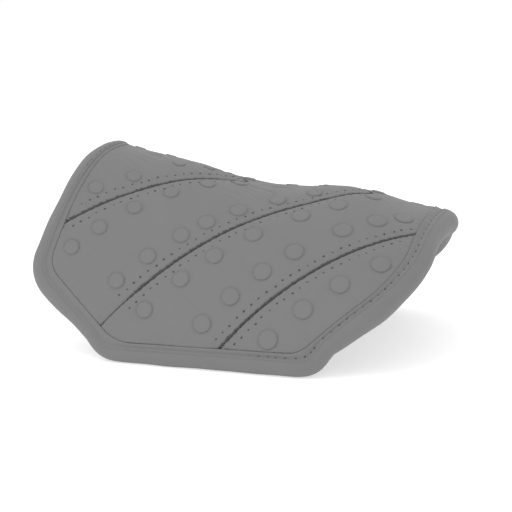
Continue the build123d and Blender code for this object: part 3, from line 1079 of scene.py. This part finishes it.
def cloth(name, grey, variation, period, depth, sheen=0.12, angle=0.0, on_skin=True):
    """Matte cloth: woven threads, slight mottling of colour and of roughness, and a little sheen."""
    m = Nodes(name)
    if on_skin:
        coordinates = m.add("ShaderNodeAttribute", attribute_name="place").outputs["Vector"]
        broad = m.noise(coordinates, scale=0.035, detail=4.0, roughness=0.6)
        fine = m.noise(coordinates, scale=0.9, detail=2.0)
    else:
        coordinates = m.add("ShaderNodeTexCoord").outputs["Object"]
        broad = m.noise(coordinates, scale=120.0)
        fine = m.noise(coordinates, scale=1500.0, detail=2.0)
    threads = m.weave(coordinates, period, angle) if on_skin else fine
    mix = m.math("ADD", m.math("MULTIPLY", broad, 0.75), m.math("MULTIPLY", fine, 0.25))
    low, high = grey * (1 - variation), grey * (1 + variation)
    m.colour(low, high, mix)
    m.roughness(0.78, 0.95, broad)
    height = m.math("ADD", threads, m.math("MULTIPLY", fine, 0.6))
    m.bump(height, depth * MM)
    m.shader.inputs["Specular IOR Level"].default_value = 0.22
    m.shader.inputs["Sheen Weight"].default_value = sheen
    m.shader.inputs["Sheen Roughness"].default_value = 0.5
    return m.material


def spacer_mesh(name, grey):
    """Knitted spacer mesh: small round holes in rows over a darker ground."""
    m = Nodes(name)
    coordinates = m.add("ShaderNodeAttribute", attribute_name="place").outputs["Vector"]
    holes = m.add("ShaderNodeTexVoronoi", feature="F1")
    holes.inputs["Scale"].default_value = 0.42
    holes.inputs["Randomness"].default_value = 0.12
    m.link(coordinates, holes.inputs["Vector"])
    cell = m.math("MULTIPLY", holes.outputs["Distance"], 1.35)
    broad = m.noise(coordinates, scale=0.03)
    shade = m.math("ADD", m.math("MULTIPLY", cell, 0.8), m.math("MULTIPLY", broad, 0.25))
    m.colour(grey * 0.45, grey * 1.12, shade)
    m.roughness(0.8, 0.95, broad)
    m.bump(cell, 0.5 * MM)
    m.shader.inputs["Specular IOR Level"].default_value = 0.25
    m.shader.inputs["Sheen Weight"].default_value = 0.1
    return m.material


def foam(name, grey, pore):
    """Open-celled foam, with cells of about the pore's size in millimetres."""
    m = Nodes(name)
    coordinates = m.add("ShaderNodeTexCoord").outputs["Object"]
    cells = m.add("ShaderNodeTexVoronoi", feature="F1")
    cells.inputs["Scale"].default_value = 1 / (pore * MM)
    m.link(coordinates, cells.inputs["Vector"])
    broad = m.noise(coordinates, scale=90.0)
    m.colour(grey * 0.8, grey * 1.1, broad)
    m.roughness(0.85, 0.98, broad)
    m.bump(cells.outputs["Distance"], 0.2 * MM)
    return m.material


def dress(piece, material):
    piece.data.materials.clear()
    piece.data.materials.append(material)


# ---- build ----
panels = build_panels()
comfort, lining = build_inner()
binding, binding_surface = build_binding()
seam_rows = build_seam_stitches()
binding_row = build_binding_stitches(binding_surface)
dot_pieces = build_dots()
tapes = build_tapes()

# How light each material is, and the angle between the covers' weave and the spine.
GREY = 0.18
# The thread's grey is dark as painted shade of the needle holes.
THREAD_HOLE_SHADE_GREY = 0.06
# The tapes' grey is dark as painted shade at the bottom of the seam grooves.
TAPE_GROOVE_SHADE_GREY = 0.075
LINING_GREY = 0.19
FOAM_GREY = 0.30
BIAS = 0.4
cover_cloth = cloth("cover_cloth", GREY, variation=0.035, period=0.55, depth=0.035, angle=BIAS)
binding_cloth = cloth("binding_cloth", GREY, variation=0.03, period=0.5, depth=0.03)
dot_cloth = cloth("dot_cloth", GREY, variation=0.03, period=0.5, depth=0.03, angle=BIAS)
# The thread material's dark grey is painted shade of the needle holes on real stitch beads.
thread = cloth("thread", THREAD_HOLE_SHADE_GREY, variation=0.15, period=0.3, depth=0.03, sheen=0.0, on_skin=False)
# The tape material's dark grey is painted shade in the seam grooves on the real tapes.
tape_groove_shade = cloth("seam_tape", TAPE_GROOVE_SHADE_GREY, variation=0.1, period=0.8, depth=0.05, sheen=0.0)
lining_mesh = spacer_mesh("lining_mesh", LINING_GREY)
comfort_material = foam("comfort_foam", FOAM_GREY, pore=0.8)

for piece in panels.values():
    dress(piece, cover_cloth)
dress(binding, binding_cloth)
for piece in dot_pieces:
    dress(piece, dot_cloth)
for piece in seam_rows + [binding_row]:
    dress(piece, thread)
for piece in tapes:
    dress(piece, tape_groove_shade)
dress(lining, lining_mesh)
dress(comfort, comfort_material)

pieces = [*panels.values(), comfort, lining, binding, *seam_rows, binding_row, *dot_pieces, *tapes]
for piece in pieces:
    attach(piece, "root")


# ---- floor, light and camera ----
# In metres and watts.
FLOOR_HALF = 60.0
FLOOR_DROP = 0.0002
FLOOR_GREY = 0.75
FLOOR_GLOW = 0.5
WORLD_STRENGTH = 1.0
LAMP_PLACE = (-0.7, -0.8, 1.5)
LAMP_AIM = (0, 0, 0.05)
LAMP_SIZE = 1.3
LAMP_POWER = 7.0
# The camera stands back from the origin along its view, and is moved a little to its side and up.
CAMERA_AZIMUTH = math.radians(13.87)
CAMERA_ELEVATION = math.radians(10.0)
CAMERA_DISTANCE = 1.260
CAMERA_SIDE = -0.00484
CAMERA_HEIGHT = 0.06836
CAMERA_LENS = 98.44


def pale_floor():
    mesh = bpy.data.meshes.new("floor")
    corners = [(-1, -1), (1, -1), (1, 1), (-1, 1)]
    mesh.from_pydata([(FLOOR_HALF * x, FLOOR_HALF * y, 0) for x, y in corners], [], [(0, 1, 2, 3)])
    floor = bpy.data.objects.new("floor", mesh)
    bpy.context.scene.collection.objects.link(floor)
    floor.location.z = -FLOOR_DROP
    m = Nodes("floor")
    m.shader.inputs["Base Color"].default_value = (FLOOR_GREY, FLOOR_GREY, FLOOR_GREY, 1)
    m.shader.inputs["Emission Color"].default_value = (1, 1, 1, 1)
    m.shader.inputs["Emission Strength"].default_value = FLOOR_GLOW
    m.shader.inputs["Roughness"].default_value = 0.9
    m.shader.inputs["Specular IOR Level"].default_value = 0.1
    mesh.materials.append(m.material)


def soft_light():
    """One large overhead lamp."""
    data = bpy.data.lights.new("overhead", "AREA")
    data.energy = LAMP_POWER
    data.size = LAMP_SIZE
    lamp = bpy.data.objects.new("overhead", data)
    bpy.context.scene.collection.objects.link(lamp)
    lamp.location = LAMP_PLACE
    lamp.rotation_mode = "QUATERNION"
    lamp.rotation_quaternion = (Vector(LAMP_AIM) - Vector(LAMP_PLACE)).to_track_quat("-Z", "Y")


def studio():
    pale_floor()
    world = bpy.data.worlds.new("studio")
    bpy.context.scene.world = world
    world.use_nodes = True
    background = world.node_tree.nodes["Background"]
    background.inputs["Color"].default_value = (1, 1, 1, 1)
    background.inputs["Strength"].default_value = WORLD_STRENGTH
    soft_light()
    bpy.context.scene.view_settings.view_transform = "Standard"


def main_camera():
    """The camera, looking along the view's own axes: to the right, up, and back from the object."""
    level = math.cos(CAMERA_ELEVATION)
    back = Vector((math.sin(CAMERA_AZIMUTH) * level, -math.cos(CAMERA_AZIMUTH) * level,
                   math.sin(CAMERA_ELEVATION)))
    right = Vector((math.cos(CAMERA_AZIMUTH), math.sin(CAMERA_AZIMUTH), 0))
    up = back.cross(right)
    data = bpy.data.cameras.new("camera")
    data.sensor_width = 36.0
    data.lens = CAMERA_LENS
    camera = bpy.data.objects.new("camera", data)
    bpy.context.scene.collection.objects.link(camera)
    camera.matrix_world = Matrix((right, up, back)).transposed().to_4x4()
    camera.location = right * CAMERA_SIDE + up * CAMERA_HEIGHT + back * CAMERA_DISTANCE
    bpy.context.scene.camera = camera


studio()
main_camera()
